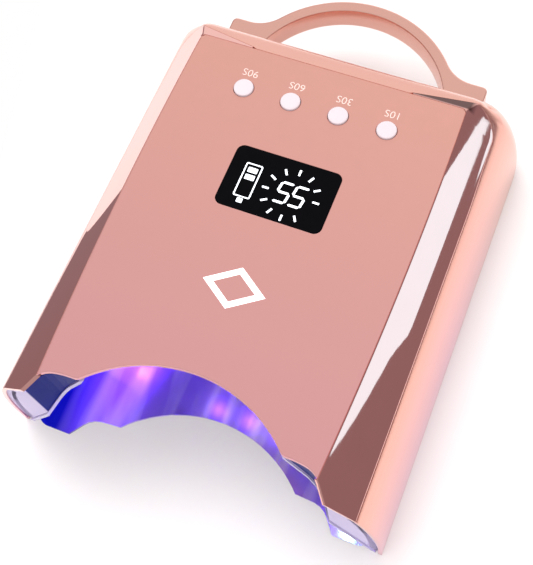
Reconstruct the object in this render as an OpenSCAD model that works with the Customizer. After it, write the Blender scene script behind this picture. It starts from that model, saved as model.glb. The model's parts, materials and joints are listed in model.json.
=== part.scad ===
// Cordless UV LED nail lamp: a flared housing with a sloping deck, an open front for
// the hand, four timer buttons, a display, side battery bays, a rear carrying handle
// and a lift-off mirror tray. Front faces -Y, the handle is at +Y, Z is up.
// The origin is on the table, under the middle of the overall length and width.

/* [Housing] */
// Overall width where the side walls meet the table
base_w = 205; // [195:1:220]
// Height of the deck surface, taken at the front end of the side walls
deck_h = 95.4; // [92:0.2:100]
// Slope of the deck, falling towards the handle, in degrees
deck_slope = 3.3; // [2:0.1:4]
// Radius of the outward curve of the side and rear walls
wall_r = 200; // [180:5:240]
// Plan radius of the rear corners, measured at the ridge
corner_r = 14; // [10:1:18]
// Distance from the front end of the side walls to the rear ridge
ridge_l = 229.5; // [224:0.5:236]
// Thickness of the outer walls
wall_t = 2.4; // [2:0.1:3]

/* [Deck] */
// Half width of the panel at the front end
seam_front = 69.4; // [67:0.2:72]
// Widening of the panel towards the rear on each side, in degrees
seam_taper = 1.1; // [0.8:0.1:1.4]
// Distance from the front to the rear edge of the panel
panel_l = 211; // [208:0.5:214]
// Thickness of the panel
panel_t = 3; // [2.5:0.1:3.5]
// Depth of the parting line between top cover and skirt, under the deck
ridge_depth = 17.3; // [15:0.1:19]
// Slope of the mirror chamfer along both long sides, in degrees
chamfer_angle = 45; // [42:1:48]
// Slope of the rear band, in degrees
band_angle = 28.4; // [24:0.2:32]

/* [Front opening] */
// Radius of the arch cut out for the palm
arch_r = 70; // [66:1:74]
// Depth of that arch behind the front end of the side walls
arch_depth = 34.5; // [32:0.5:37]
// Half distance between the two inner corners of the tray tabs
tab_half = 75.5; // [74:0.5:77]
// Half distance between the two noses beside the arch
nose_half = 51; // [48:0.5:53]
// Distance from the front end of the walls to the rear wall of the hand space
tunnel_l = 163; // [150:1:166]

/* [Controls] */
// Diameter of a timer button
button_d = 10.4; // [9.6:0.1:11]
// Distance between neighbouring buttons
button_pitch = 25.8; // [24:0.1:27]
// Distance from the front to the row of buttons
button_y = 186; // [184:0.5:188]
// How far a button stands above the deck, below its crown, and goes down when pressed
button_travel = 0.6; // [0.4:0.1:0.8]
// Width of the display window
display_w = 55.4; // [52:0.2:58]
// Length of the display window, along the deck
display_l = 35; // [33:0.5:37]
// Distance from the front to the middle of the display window
display_y = 137; // [135:0.5:139]
// Width of the diamond emblem
emblem_w = 32; // [26:1:36]

/* [Handle] */
// Inner radius of the arched grip
grip_r = 57; // [54:0.5:59]
// Radial width of the grip
grip_w = 6.5; // [6:0.1:8]
// Distance from the front to the centre of the grip's arc
grip_y = 218.5; // [216:0.5:220]
// Height of the underside of the handle above the table
grip_z = 30; // [28:0.5:33]
// Height of the handle itself
grip_h = 14.4; // [12:0.2:16]

/* [Hidden] */
$fn = 96;

overall_l = grip_y + grip_r + grip_w;
front_y = -overall_l / 2;
half_w = base_w / 2;
gap = 0.2;
big = 400;
eps = 0.01;

// The wall curve is a circle whose centre is level with the table at the front.
wall_cx = half_w - wall_r;
ridge_x = wall_cx + sqrt(pow(wall_r, 2) - pow(deck_h - ridge_depth, 2));
corner_x = ridge_x - corner_r;
corner_y = ridge_l - corner_r;

cover_plate_t = 2.8;
cover_z = -panel_t - gap / 2;
cavity_top = cover_z - cover_plate_t;
window_half = 47;
window_y0 = 113;
window_y1 = 198;
panel_corner_r = 3;

ceiling_z = -14;
ceiling_t = 1.6;
liner_t = 1.8;
liner_foot_x = 99.3;
liner_top_x = nose_half;
liner_top_z = deck_h - 6.4;
liner_lean = atan((liner_foot_x - liner_top_x) / liner_top_z);
liner_bottom = 0.4;
fascia_setback = 6;

board_t = 1.6;
board_z = -10;
board_half = 51;
post_r = 1.6;
switch_h = 3.5;
stem_r = 1.5;
stem_hole_r = 1.57;
switch_w = 6;
button_crown = 0.6;
flange_t = 1.4;
display_can_w = 52;
display_can_l = 32;

cell_r = 9;
cell_l = 65;
cell_x = 79;
cell_z = 57;
cell_y0 = 18;

tray_t = 1.8;
tray_z = 0.6;
tray_half = 95.6;
tray_l = 229;
tray_corner_r = 26;
tab_corner_r = 7;

bay_z = 2.8;
bay_t = 2;
driver_z = 12;
jack_z = 19.5;
screw_x = 66;
screw_z = grip_z + grip_h / 2;
screw_hole_r = 2.1;
screw_clear_r = 2.05;
screw_r = 2;
screw_head_r = 3.8;
nut_r = 3.4;
jack_hole_r = 4.8;
jack_barrel_r = 4.6;
behind_y = 205;

// ---- frames ----------------------------------------------------------------

// Table frame: y = 0 at the front end of the side walls.
module from_front() {
    translate([0, front_y, 0]) children();
}

// Deck frame: z = 0 is the deck surface and y runs down its slope.
module on_deck() {
    translate([0, front_y, deck_h]) rotate([-deck_slope, 0, 0]) children();
}

module both_sides() {
    children();
    mirror([1, 0, 0]) children();
}

function seam_x(y) = seam_front + y * tan(seam_taper);
function button_x(i) = (i - 1.5) * button_pitch;

// ---- shared shapes ---------------------------------------------------------

// Half of the wall's cross-section, from the middle to the curved outside.
module wall_section(shift, inset) {
    intersection() {
        translate([wall_cx - shift, -deck_h]) circle(r = wall_r - inset, $fn = 360);
        translate([0, -110]) square([150, 110]);
    }
}

// Solid filling of the walls, up to the deck surface, inset from the outside.
module wall_block(inset) {
    both_sides()
        translate([0, corner_y, 0]) rotate([90, 0, 0])
            linear_extrude(height = corner_y + 30) wall_section(0, inset);
    translate([corner_x, corner_y, 0]) rotate([90, 0, -90])
        linear_extrude(height = 2 * corner_x) mirror([1, 0]) wall_section(corner_x, inset);
    both_sides()
        translate([corner_x, corner_y, 0]) rotate_extrude($fn = 180)
            wall_section(corner_x, inset);
}

// What is above the mirror chamfers and the rear band, lowered by a skin depth.
module top_bevels(skin) {
    both_sides()
        translate([seam_front - skin / sin(chamfer_angle), 0, 0])
            rotate([0, 0, -seam_taper]) rotate([0, chamfer_angle, 0])
                translate([0, -60, 0]) cube([90, big, 60]);
    translate([-150, panel_l - skin / sin(band_angle), 0])
        rotate([-band_angle, 0, 0]) cube([300, 90, 60]);
}

// The housing as one solid, before it is hollowed and split.
module housing_solid() {
    difference() {
        wall_block(0);
        top_bevels(0);
    }
}

// The inner space of the housing, with an optional extra clearance.
module housing_cavity(clearance = 0) {
    difference() {
        wall_block(wall_t + clearance);
        top_bevels(wall_t + clearance);
        translate([-150, -60, cavity_top - clearance]) cube([300, big, 50]);
    }
}

// Everything in front of the shaped front edge, seen from above.
module front_cut_outline() {
    translate([-150, -100]) square([300, 100]);
    polygon([[-tab_half, -1], [-tab_half, 0], [-70.3, 6.9], [-68, 9.4], [-65, 11.3], [-61.5, 12.3],
             [-nose_half, 13], [nose_half, 13],
             [61.5, 12.3], [65, 11.3], [68, 9.4], [70.3, 6.9], [tab_half, 0], [tab_half, -1]]);
    translate([0, arch_depth - arch_r]) circle(r = arch_r, $fn = 240);
}

module front_cut(setback = 0) {
    from_front() translate([0, setback, -10])
        linear_extrude(height = 130) front_cut_outline();
}

module below_table() {
    translate([-200, -200, -60]) cube([400, 400, 60]);
}

// Rear half of the panel outline, on one side, grown or shrunk by a margin.
function panel_edge(margin) =
    let (r = panel_corner_r + margin, y = panel_l - panel_corner_r, x = seam_x(y) - panel_corner_r)
    concat([[seam_x(-30) + margin, -30]], [for (a = [0:10:90]) [x + r * cos(a), y + r * sin(a)]]);

module panel_outline(margin) {
    edge = panel_edge(margin);
    polygon(concat(edge, [for (i = [len(edge) - 1:-1:0]) [-edge[i][0], edge[i][1]]]));
}

// Plan outline of the top cover behind the panel, where the rear band begins.
wedge_x = 42;
wedge_y = panel_l + 0.8;
ring_corner_r = 11;
ring_corner = [77.6, 208.5];

module cover_zone_outline(margin) {
    half = concat([[130, -40], [130, 204], [ring_corner[0] + ring_corner_r + margin, 204]],
        [for (a = [0:9:90]) ring_corner + (ring_corner_r + margin) * [cos(a), sin(a)]],
        [[wedge_x, wedge_y + margin]]);
    polygon(concat(half, [for (i = [len(half) - 1:-1:0]) [-half[i][0], half[i][1]]]));
}

module cover_zone(margin) {
    translate([0, 0, -ridge_depth - margin]) linear_extrude(height = 60)
        cover_zone_outline(margin);
}

// The hand space: a tunnel with leaning sides, open at the bottom and the front.
module tunnel(inset) {
    shift = inset / cos(liner_lean);
    top = liner_top_z + 20;
    top_x = liner_foot_x - top * tan(liner_lean) - shift;
    from_front() translate([0, tunnel_l + liner_t - inset, 0]) rotate([90, 0, 0])
        linear_extrude(height = tunnel_l + 30)
            polygon([[shift - liner_foot_x, 0], [-top_x, top], [top_x, top], [liner_foot_x - shift, 0]]);
}

// A place on the inner face of the right-hand leaning wall: x up the wall, z inwards.
module on_liner(up, y) {
    from_front() translate([liner_foot_x - liner_t / cos(liner_lean), y, 0])
        rotate([0, -90 - liner_lean, 0]) translate([up, 0, 0]) children();
}

// ---- housing ---------------------------------------------------------------

module outer_skirt() {
    color("#f3b8a2")
        difference() {
            on_deck() difference() {
                housing_solid();
                housing_cavity();
                cover_zone(gap / 2);
                translate([0, 0, -1]) linear_extrude(height = 10) panel_outline(gap);
            }
            front_cut();
            below_table();
            from_front() {
                translate([0, behind_y, jack_z]) rotate([-90, 0, 0])
                    cylinder(r = jack_hole_r, h = 60);
                both_sides() translate([screw_x, behind_y, screw_z]) rotate([-90, 0, 0])
                    cylinder(r = screw_hole_r, h = 60);
            }
        }
}

module top_cover() {
    color("#b06a66") {
        board_posts();
        difference() {
            on_deck() difference() {
                intersection() {
                    housing_solid();
                    cover_zone(-gap / 2);
                }
                housing_cavity();
                translate([0, 0, cover_z]) linear_extrude(height = 20) panel_outline(gap);
                translate([-150, panel_l + gap, cover_z]) cube([300, 40, 20]);
                translate([-window_half, window_y0, -20])
                    cube([2 * window_half, window_y1 - window_y0, 30]);
            }
            front_cut();
        }
    }
}

// Posts under the cover plate that carry the control board.
module board_posts() {
    on_deck() both_sides() for (y = [window_y0 + post_r, window_y1 - post_r])
        translate([window_half + post_r + 0.4, y, board_z])
            cylinder(r = post_r, h = cavity_top - board_z + 1);
}

module top_panel() {
    color("#dd9f93")
        difference() {
            on_deck() translate([0, 0, -panel_t]) linear_extrude(height = panel_t)
                difference() {
                    panel_outline(0);
                    display_outline(0.15);
                    for (i = [0:3]) translate([button_x(i), button_y])
                        circle(d = button_d + 0.3);
                }
            on_deck() translate([0, 0, -1.2]) linear_extrude(height = 5) emblem_outline(0.05);
            front_cut();
        }
}

module display_outline(margin) {
    r = 4;
    w = display_w / 2 - r;
    l = display_l / 2 - r;
    translate([0, display_y]) {
        square([2 * (w + r + margin), 2 * l], center = true);
        square([2 * w, 2 * (l + r + margin)], center = true);
        for (x = [-w, w], y = [-l, l]) translate([x, y]) circle(r = r + margin);
    }
}

module display_lens() {
    color("#08080a")
        on_deck() translate([0, 0, -panel_t]) linear_extrude(height = panel_t) display_outline(0);
}

emblem_y = 80;
emblem_stroke = 3;

module diamond(half_x) {
    polygon([[-half_x, 0], [0, -half_x * 0.7], [half_x, 0], [0, half_x * 0.7]]);
}

module emblem_outline(margin) {
    translate([0, emblem_y]) difference() {
        diamond(emblem_w / 2 + margin);
        diamond(emblem_w / 2 - emblem_stroke * 1.75 - margin);
    }
}

module emblem_inlay() {
    color("white")
        on_deck() translate([0, 0, -1.15]) linear_extrude(height = 1.15) emblem_outline(0);
}

// ---- controls --------------------------------------------------------------

module button(i) {
    color("#f6f2f4")
        on_deck() translate([button_x(i), button_y, 0]) {
            translate([0, 0, -panel_t - 1]) cylinder(d = button_d, h = panel_t + 1 + button_travel);
            translate([0, 0, button_travel - eps])
                cylinder(d1 = button_d, d2 = button_d - 1.2, h = button_crown);
            translate([0, 0, -panel_t - 1.5]) cylinder(d = button_d + 2, h = flange_t);
            translate([0, 0, -7.3]) cylinder(r = stem_r, h = 4);
        }
}

module button_90s() { button(0); }
module button_60s() { button(1); }
module button_30s() { button(2); }
module button_10s() { button(3); }

module control_board() {
    color("#1d6b3c")
        on_deck() translate([-board_half, window_y0, board_z - board_t])
            cube([2 * board_half, window_y1 - window_y0, board_t]);
}

module tact_switches() {
    color("#2b2b2e")
        on_deck() for (i = [0:3]) translate([button_x(i), button_y, board_z]) difference() {
            translate([-switch_w / 2, -switch_w / 2, 0]) cube([switch_w, switch_w, switch_h]);
            translate([0, 0, 1]) cylinder(r = stem_hole_r, h = switch_h);
        }
}

module display_module() {
    color("#e9e4dc")
        on_deck() translate([-display_can_w / 2, display_y - display_can_l / 2, board_z])
            cube([display_can_w, display_can_l, -board_z - panel_t]);
}

// ---- hand space ------------------------------------------------------------

module inner_reflector() {
    color("#e9e6f2")
        difference() {
            union() {
                difference() {
                    tunnel(0);
                    tunnel(liner_t);
                    on_deck() translate([-150, -60, cavity_top - gap]) cube([300, big, 80]);
                }
                intersection() {
                    tunnel(gap);
                    on_deck() translate([-100, -30, ceiling_z - ceiling_t]) difference() {
                        cube([200, tunnel_l + 30, ceiling_t]);
                        translate([100, 30 + arch_depth - arch_r, -1])
                            cylinder(r = arch_r + fascia_setback, h = ceiling_t + 2, $fn = 240);
                    }
                }
                intersection() {
                    tunnel(gap);
                    from_front() translate([-100, tunnel_l, 0]) cube([200, liner_t, 120]);
                    on_deck() translate([-110, 0, -120]) cube([220, big, 120 + ceiling_z]);
                }
                arch_fascia();
                bosses();
            }
            front_cut();
            from_front() translate([-200, -60, -50]) cube([400, big, 50 + liner_bottom]);
            from_front() translate([-tray_half - 0.4, tunnel_l - 1, -10])
                cube([2 * tray_half + 0.8, 10, 10 + bay_z]);
            on_deck() translate([-board_half - 1, tunnel_l - 5, ceiling_z])
                cube([2 * board_half + 2, 20, 20]);
            from_front() for (x = boss_x) translate([x, boss_y, 0]) cylinder(r = boss_hole_r, h = 16);
        }
}

boss_x = [-72, -26, 26, 72];
boss_y = tunnel_l + liner_t + 3.4;
boss_r = 3.6;
boss_hole_r = 1.25;

module bosses() {
    from_front() for (x = boss_x) translate([x, boss_y, bay_z + bay_t])
        cylinder(r = boss_r, h = 15);
}

// Wall that closes the gap between the ceiling and the deck, set back under the arch.
module arch_fascia() {
    intersection() {
        from_front() translate([0, arch_depth - arch_r, 40]) difference() {
            cylinder(r = arch_r + fascia_setback + 1.8, h = 60, $fn = 240);
            translate([0, 0, -1]) cylinder(r = arch_r + fascia_setback, h = 62, $fn = 240);
        }
        tunnel(liner_t / 2);
        on_deck() translate([-100, 0, ceiling_z - ceiling_t])
            cube([200, 80, cavity_top - gap - ceiling_z + ceiling_t]);
        from_front() translate([-nose_half, 12, 0]) cube([2 * nose_half, 60, 120]);
    }
}

// Plate that closes one side bay at the front, set back behind the rims.
module end_cap() {
    difference() {
        intersection() {
            on_deck() housing_cavity(gap);
            translate([30, -200, 0]) cube([100, 260, 120]);
        }
        front_cut(1);
        tunnel(-gap);
        difference() {
            translate([0, -200, -10]) cube([140, 400, 140]);
            front_cut(3);
        }
        from_front() translate([0, -60, -1]) cube([140, 100, 3]);
    }
}

module end_cap_right() { color("#dcd3fb") end_cap(); }
module end_cap_left() { color("#dcd3fb") mirror([1, 0, 0]) end_cap(); }

led_board_l = 112;
led_board_w = 62;
led_y0 = 44;
led_bead_r = 2.4;
side_board_w = 34;
side_board_up = 34;

module led_board_top() {
    color("#f2f2f2")
        on_deck() translate([-led_board_w / 2, led_y0, ceiling_z - ceiling_t - 1.3])
            cube([led_board_w, led_board_l, 1.2]);
}

module leds_top() {
    color("#b9a6ff")
        on_deck() for (x = [-20, 0, 20], j = [0:4])
            translate([x, led_y0 + 12 + 22 * j, ceiling_z - ceiling_t - 2.8])
                cylinder(r = led_bead_r, h = 1.5);
}

module side_board() {
    on_liner(side_board_up, led_y0) translate([0, 0, 0.1]) cube([side_board_w, led_board_l, 1.2]);
}

module side_leds() {
    for (up = [8, 26], j = [0:4])
        on_liner(side_board_up + up, led_y0 + 12 + 22 * j) translate([0, 0, 1.3])
            cylinder(r = led_bead_r, h = 1.5);
}

module led_board_right() { color("#f2f2f2") side_board(); }
module led_board_left() { color("#f2f2f2") mirror([1, 0, 0]) side_board(); }
module leds_right() { color("#b9a6ff") side_leds(); }
module leds_left() { color("#b9a6ff") mirror([1, 0, 0]) side_leds(); }

module ir_sensor() {
    color("#3a1466")
        on_deck() translate([-42, 46, ceiling_z - ceiling_t - 2]) cylinder(r = 2.6, h = 2);
}

// ---- power -----------------------------------------------------------------

module cells() {
    from_front() for (j = [0:1])
        translate([cell_x, cell_y0 + j * (cell_l + 1), cell_z]) rotate([-90, 0, 0])
            cylinder(r = cell_r, h = cell_l);
}

module cradles() {
    difference() {
        intersection() {
            on_deck() housing_cavity(gap);
            from_front() for (y = [30, 62, 102, 134]) translate([40, y, 30]) cube([80, 2, 90]);
        }
        tunnel(-gap);
        from_front() translate([cell_x, 0, cell_z]) rotate([-90, 0, 0])
            cylinder(r = cell_r + 0.05, h = 200);
    }
}

module cells_right() { color("#3f7fb5") cells(); }
module cells_left() { color("#3f7fb5") mirror([1, 0, 0]) cells(); }
module cradles_right() { color("#cfcfd4") cradles(); }
module cradles_left() { color("#cfcfd4") mirror([1, 0, 0]) cradles(); }

magnet_pos = [52, 200];
magnet_r = 6;
magnet_t = 1.2;
standoffs = [[-42, 184], [42, 184], [-42, 220], [42, 220]];

module bottom_cover() {
    color("#d9a596")
        difference() {
            union() {
                intersection() {
                    on_deck() housing_cavity(gap);
                    from_front() translate([-120, tunnel_l + liner_t + gap, bay_z])
                        cube([240, 80, bay_t]);
                }
                from_front() for (p = standoffs) translate([p[0], p[1], bay_z + bay_t - eps])
                    cylinder(r = 3, h = driver_z - bay_z - bay_t);
            }
            from_front() both_sides() translate([magnet_pos[0], magnet_pos[1], bay_z - 1])
                cylinder(r = magnet_r + 0.1, h = 1 + magnet_t + 0.1);
            from_front() for (x = boss_x) translate([x, boss_y, 0]) {
                cylinder(r = 1.7, h = 10);
                translate([0, 0, bay_z - eps]) cylinder(r1 = 3.2, r2 = 1.7, h = 1.5);
            }
        }
}

module bottom_screws() {
    color("silver")
        from_front() for (x = boss_x) translate([x, boss_y, bay_z + 0.1]) {
            cylinder(r1 = 3, r2 = 1.2, h = 1.5);
            cylinder(r = 1.2, h = 11);
        }
}

module housing_magnets() {
    color("#8f9299")
        from_front() both_sides() translate([magnet_pos[0], magnet_pos[1], bay_z])
            cylinder(r = magnet_r, h = magnet_t);
}

module driver_board() {
    color("#1d6b3c")
        from_front() translate([-50, 178, driver_z]) cube([100, 48, board_t]);
}

module driver_parts() {
    color("#35353a")
        from_front() translate([0, 0, driver_z + board_t]) {
            for (x = [-38, -24]) translate([x, 190, 0]) cylinder(r = 5, h = 14);
            translate([10, 184, 0]) cube([16, 16, 8]);
            translate([32, 190, 0]) cube([10, 14, 4]);
            translate([-18, 206, 0]) cube([9, 9, 3]);
        }
}

module dc_jack() {
    color("#1b1b1d")
        from_front() difference() {
            union() {
                translate([-7, 220, driver_z + board_t]) cube([14, 13, 12]);
                translate([0, 230, jack_z]) rotate([-90, 0, 0])
                    cylinder(r = jack_barrel_r, h = 9.6);
            }
            translate([0, 229, jack_z]) rotate([-90, 0, 0]) difference() {
                cylinder(r = 2.8, h = 20);
                translate([0, 0, -1]) cylinder(r = 1, h = 10);
            }
        }
}

// ---- handle ----------------------------------------------------------------

foot_x = 75.4;
foot_y = 250;
foot_fillet_r = 20;
fillet_y = foot_y + foot_fillet_r;
fillet_x = sqrt(pow(grip_r + grip_w + foot_fillet_r, 2) - pow(fillet_y - grip_y, 2));

module handle_outline() {
    outer = grip_r + grip_w;
    touch = [fillet_x, fillet_y - grip_y] * outer / (outer + foot_fillet_r);
    difference() {
        union() {
            translate([0, grip_y]) circle(r = outer, $fn = 240);
            both_sides() difference() {
                polygon([[40, 215], [foot_x, 215], [foot_x, foot_y - 3], [foot_x - 3, foot_y],
                         [fillet_x, foot_y], [touch[0], grip_y + touch[1]], [40, grip_y + 40]]);
                translate([fillet_x, fillet_y]) circle(r = foot_fillet_r, $fn = 160);
            }
        }
        translate([0, grip_y]) circle(r = grip_r, $fn = 240);
        translate([-150, 100]) square([300, 120]);
    }
}

module handle() {
    color("#d79a8d")
        difference() {
            from_front() translate([0, 0, grip_z]) linear_extrude(height = grip_h) handle_outline();
            on_deck() wall_block(-0.05);
            from_front() both_sides() translate([screw_x, behind_y, screw_z]) rotate([-90, 0, 0])
                cylinder(r = screw_clear_r, h = 42);
            handle_nut_pockets(0.1);
        }
}

module handle_nut_pockets(margin) {
    from_front() both_sides() translate([screw_x, 243, screw_z]) rotate([-90, 0, 0])
        cylinder(r = nut_r + margin, h = 3);
}

module handle_nuts() {
    color("silver")
        difference() {
            handle_nut_pockets(0);
            from_front() both_sides() translate([screw_x, behind_y, screw_z]) rotate([-90, 0, 0])
                cylinder(r = screw_clear_r, h = 60);
        }
}

module handle_screws() {
    color("silver")
        from_front() both_sides() translate([screw_x, 0, screw_z]) rotate([-90, 0, 0]) {
            translate([0, 0, 229.4]) cylinder(r = screw_head_r, h = 2.2);
            translate([0, 0, 230]) cylinder(r = screw_r, h = 16.4);
        }
}

// ---- tray ------------------------------------------------------------------

module tray_outline() {
    r = tray_corner_r;
    difference() {
        union() {
            translate([-tray_half, tab_corner_r]) square([2 * tray_half, tray_l - r - tab_corner_r]);
            translate([-tray_half + tab_corner_r, 0])
                square([2 * (tray_half - tab_corner_r), tab_corner_r + 1]);
            translate([-tray_half + r, tray_l - r - 1]) square([2 * (tray_half - r), r + 1]);
            both_sides() {
                translate([tray_half - tab_corner_r, tab_corner_r]) circle(r = tab_corner_r);
                translate([tray_half - r, tray_l - r]) circle(r = r);
            }
        }
        front_cut_outline();
    }
}

module base_tray() {
    color("#c9c3ea")
        difference() {
            from_front() translate([0, 0, tray_z]) linear_extrude(height = tray_t) tray_outline();
            from_front() both_sides()
                translate([magnet_pos[0], magnet_pos[1], tray_z + tray_t - magnet_t - 0.1])
                    cylinder(r = magnet_r + 0.1, h = 5);
        }
}

module tray_magnets() {
    color("#8f9299")
        from_front() both_sides()
            translate([magnet_pos[0], magnet_pos[1], tray_z + tray_t - magnet_t - 0.1])
                cylinder(r = magnet_r, h = magnet_t);
}

module tray_feet() {
    color("#55555a")
        from_front() both_sides() for (p = [[82, 18], [72, 208]])
            translate([p[0], p[1], 0]) cylinder(r = 6, h = tray_z);
}

// ---- assembly --------------------------------------------------------------

outer_skirt();
top_cover();
top_panel();
display_lens();
emblem_inlay();
button_90s();
button_60s();
button_30s();
button_10s();
control_board();
tact_switches();
display_module();
inner_reflector();
end_cap_left();
end_cap_right();
led_board_top();
led_board_left();
led_board_right();
leds_top();
leds_left();
leds_right();
ir_sensor();
cells_left();
cells_right();
cradles_left();
cradles_right();
bottom_cover();
bottom_screws();
driver_board();
driver_parts();
dc_jack();
housing_magnets();
handle();
handle_screws();
handle_nuts();
base_tray();
tray_magnets();
tray_feet();
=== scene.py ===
import json
import math

import bmesh
import bpy
from mathutils import Matrix, Vector


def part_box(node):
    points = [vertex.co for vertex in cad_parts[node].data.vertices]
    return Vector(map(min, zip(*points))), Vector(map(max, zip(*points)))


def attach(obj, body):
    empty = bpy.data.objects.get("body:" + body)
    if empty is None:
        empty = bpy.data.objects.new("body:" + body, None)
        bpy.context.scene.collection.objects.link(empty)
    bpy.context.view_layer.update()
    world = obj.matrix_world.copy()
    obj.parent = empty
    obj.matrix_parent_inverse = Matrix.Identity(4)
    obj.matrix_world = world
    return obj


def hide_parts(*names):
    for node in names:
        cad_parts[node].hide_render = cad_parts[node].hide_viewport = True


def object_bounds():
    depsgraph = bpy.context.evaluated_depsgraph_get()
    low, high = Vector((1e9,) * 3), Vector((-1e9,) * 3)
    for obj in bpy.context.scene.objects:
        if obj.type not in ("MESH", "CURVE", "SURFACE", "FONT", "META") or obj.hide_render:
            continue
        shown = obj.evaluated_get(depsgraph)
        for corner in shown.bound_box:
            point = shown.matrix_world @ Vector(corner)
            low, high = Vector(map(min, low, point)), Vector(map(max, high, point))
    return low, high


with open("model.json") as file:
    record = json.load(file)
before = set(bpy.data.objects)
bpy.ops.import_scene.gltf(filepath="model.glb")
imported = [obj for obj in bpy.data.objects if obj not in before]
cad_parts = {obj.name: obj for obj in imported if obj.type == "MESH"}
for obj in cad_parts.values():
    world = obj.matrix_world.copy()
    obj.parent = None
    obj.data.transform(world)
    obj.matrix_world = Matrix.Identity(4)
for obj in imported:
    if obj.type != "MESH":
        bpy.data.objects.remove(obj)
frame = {"nodes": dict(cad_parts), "record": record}
CAD_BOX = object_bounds()
NODES = frame["nodes"]

# ---- the lamp's own frames ---------------------------------------------------
# Lengths below are in mm. The table frame has y = 0 at the front end of the side
# walls; the deck frame also has z = 0 on the deck and leans back with its slope.

MM = 0.001
FRONT_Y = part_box("outer_skirt")[0].y
DECK_H = 95.4
SLOPE = math.radians(3.3)
SLOPE_C, SLOPE_S = math.cos(SLOPE), math.sin(SLOPE)


def table(x, y, z):
    return Vector((x * MM, FRONT_Y + y * MM, z * MM))


def deck(x, y, z):
    return table(x, y * SLOPE_C + z * SLOPE_S, DECK_H - y * SLOPE_S + z * SLOPE_C)


DECK_MATRIX = Matrix.Translation((0, FRONT_Y, DECK_H * MM)) @ Matrix.Rotation(-SLOPE, 4, "X")
TABLE_MATRIX = Matrix.Translation((0, FRONT_Y, 0))

# ---- mesh helpers --------------------------------------------------------------

SHARP_ANGLE = math.radians(32)
RIM_ANGLE = math.radians(50)


def new_object(name, bm, smooth=True):
    """An object from a bmesh, with its doubles merged and its sharp edges marked."""
    bmesh.ops.remove_doubles(bm, verts=bm.verts, dist=2e-6)
    bmesh.ops.dissolve_degenerate(bm, edges=bm.edges, dist=1e-7)
    bmesh.ops.recalc_face_normals(bm, faces=bm.faces)
    for face in bm.faces:
        face.smooth = smooth
    for edge in bm.edges:
        if len(edge.link_faces) == 2 and edge.calc_face_angle(0) > SHARP_ANGLE:
            edge.smooth = False
    mesh = bpy.data.meshes.new(name)
    bm.to_mesh(mesh)
    bm.free()
    obj = bpy.data.objects.new(name, mesh)
    bpy.context.scene.collection.objects.link(obj)
    return obj


def bake_modifiers(obj):
    """The object's evaluated shape becomes its own mesh, and its modifiers go."""
    bpy.context.view_layer.update()
    graph = bpy.context.evaluated_depsgraph_get()
    mesh = bpy.data.meshes.new_from_object(obj.evaluated_get(graph))
    old_name, matrix = obj.name, obj.matrix_world.copy()
    mesh.transform(matrix)
    bpy.data.objects.remove(obj)
    bm = bmesh.new()
    bm.from_mesh(mesh)
    for face in bm.faces:
        face.smooth = True
    for edge in bm.edges:
        edge.smooth = not (len(edge.link_faces) == 2 and edge.calc_face_angle(0) > SHARP_ANGLE)
    bm.to_mesh(mesh)
    bm.free()
    baked = bpy.data.objects.new(old_name, mesh)
    bpy.context.scene.collection.objects.link(baked)
    return baked


def keep_inside(obj):
    """Holds every vertex inside the box of the CAD model."""
    low, high = CAD_BOX
    for vertex in obj.data.vertices:
        vertex.co = [min(max(c, a), b) for c, a, b in zip(vertex.co, low, high)]


def face_outwards(obj, inside):
    """Turns every face of an open skin so that its normal points away from a point inside."""
    bm = bmesh.new()
    bm.from_mesh(obj.data)
    wrong = [f for f in bm.faces if (f.calc_center_median() - inside).dot(f.normal) < 0]
    bmesh.ops.reverse_faces(bm, faces=wrong)
    bm.to_mesh(obj.data)
    bm.free()


def loft(name, stations):
    """An open skin through a row of profiles that all have the same number of points."""
    bm = bmesh.new()
    rows = [[bm.verts.new(p) for p in profile] for profile in stations]
    for a, b in zip(rows, rows[1:]):
        for i in range(len(a) - 1):
            bm.faces.new((a[i], a[i + 1], b[i + 1], b[i]))
    return new_object(name, bm)


def thicken(obj, thickness, rim_bevel, inside):
    """Gives a skin a wall thickness, towards the inside, and rounds its rims."""
    face_outwards(obj, inside)
    solid = obj.modifiers.new("wall", "SOLIDIFY")
    solid.thickness = thickness * MM
    solid.offset = -1
    solid.use_even_offset = True
    bevel = obj.modifiers.new("rim", "BEVEL")
    bevel.width = rim_bevel * MM
    bevel.segments = 2
    bevel.limit_method = "ANGLE"
    bevel.angle_limit = RIM_ANGLE
    return bake_modifiers(obj)


def plate(name, outlines, bottom, top, matrix, round_edge, segments=2):
    """A flat plate with the given outline and holes, its edges rounded."""
    curve = bpy.data.curves.new(name, "CURVE")
    curve.dimensions = "2D"
    curve.fill_mode = "BOTH"
    curve.extrude = (top - bottom) / 2 * MM - round_edge * MM
    curve.bevel_depth = round_edge * MM
    curve.bevel_resolution = segments
    curve.offset = -round_edge * MM
    for outline in outlines:
        spline = curve.splines.new("POLY")
        spline.points.add(len(outline) - 1)
        for point, (x, y) in zip(spline.points, outline):
            point.co = (x * MM, y * MM, 0, 1)
        spline.use_cyclic_u = True
    obj = bpy.data.objects.new(name, curve)
    bpy.context.scene.collection.objects.link(obj)
    obj.matrix_world = matrix @ Matrix.Translation((0, 0, (top + bottom) / 2 * MM))
    return bake_modifiers(obj)


def arc(cx, cy, r, a0, a1, steps):
    """Points on an arc, its angles in degrees."""
    return [(cx + r * math.cos(math.radians(a0 + (a1 - a0) * i / steps)),
             cy + r * math.sin(math.radians(a0 + (a1 - a0) * i / steps))) for i in range(steps + 1)]


def rounded_rect(cx, cy, w, l, r, steps=10):
    x, y = w / 2 - r, l / 2 - r
    return (arc(cx + x, cy + y, r, 0, 90, steps) + arc(cx - x, cy + y, r, 90, 180, steps)
            + arc(cx - x, cy - y, r, 180, 270, steps) + arc(cx + x, cy - y, r, 270, 360, steps))


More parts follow.
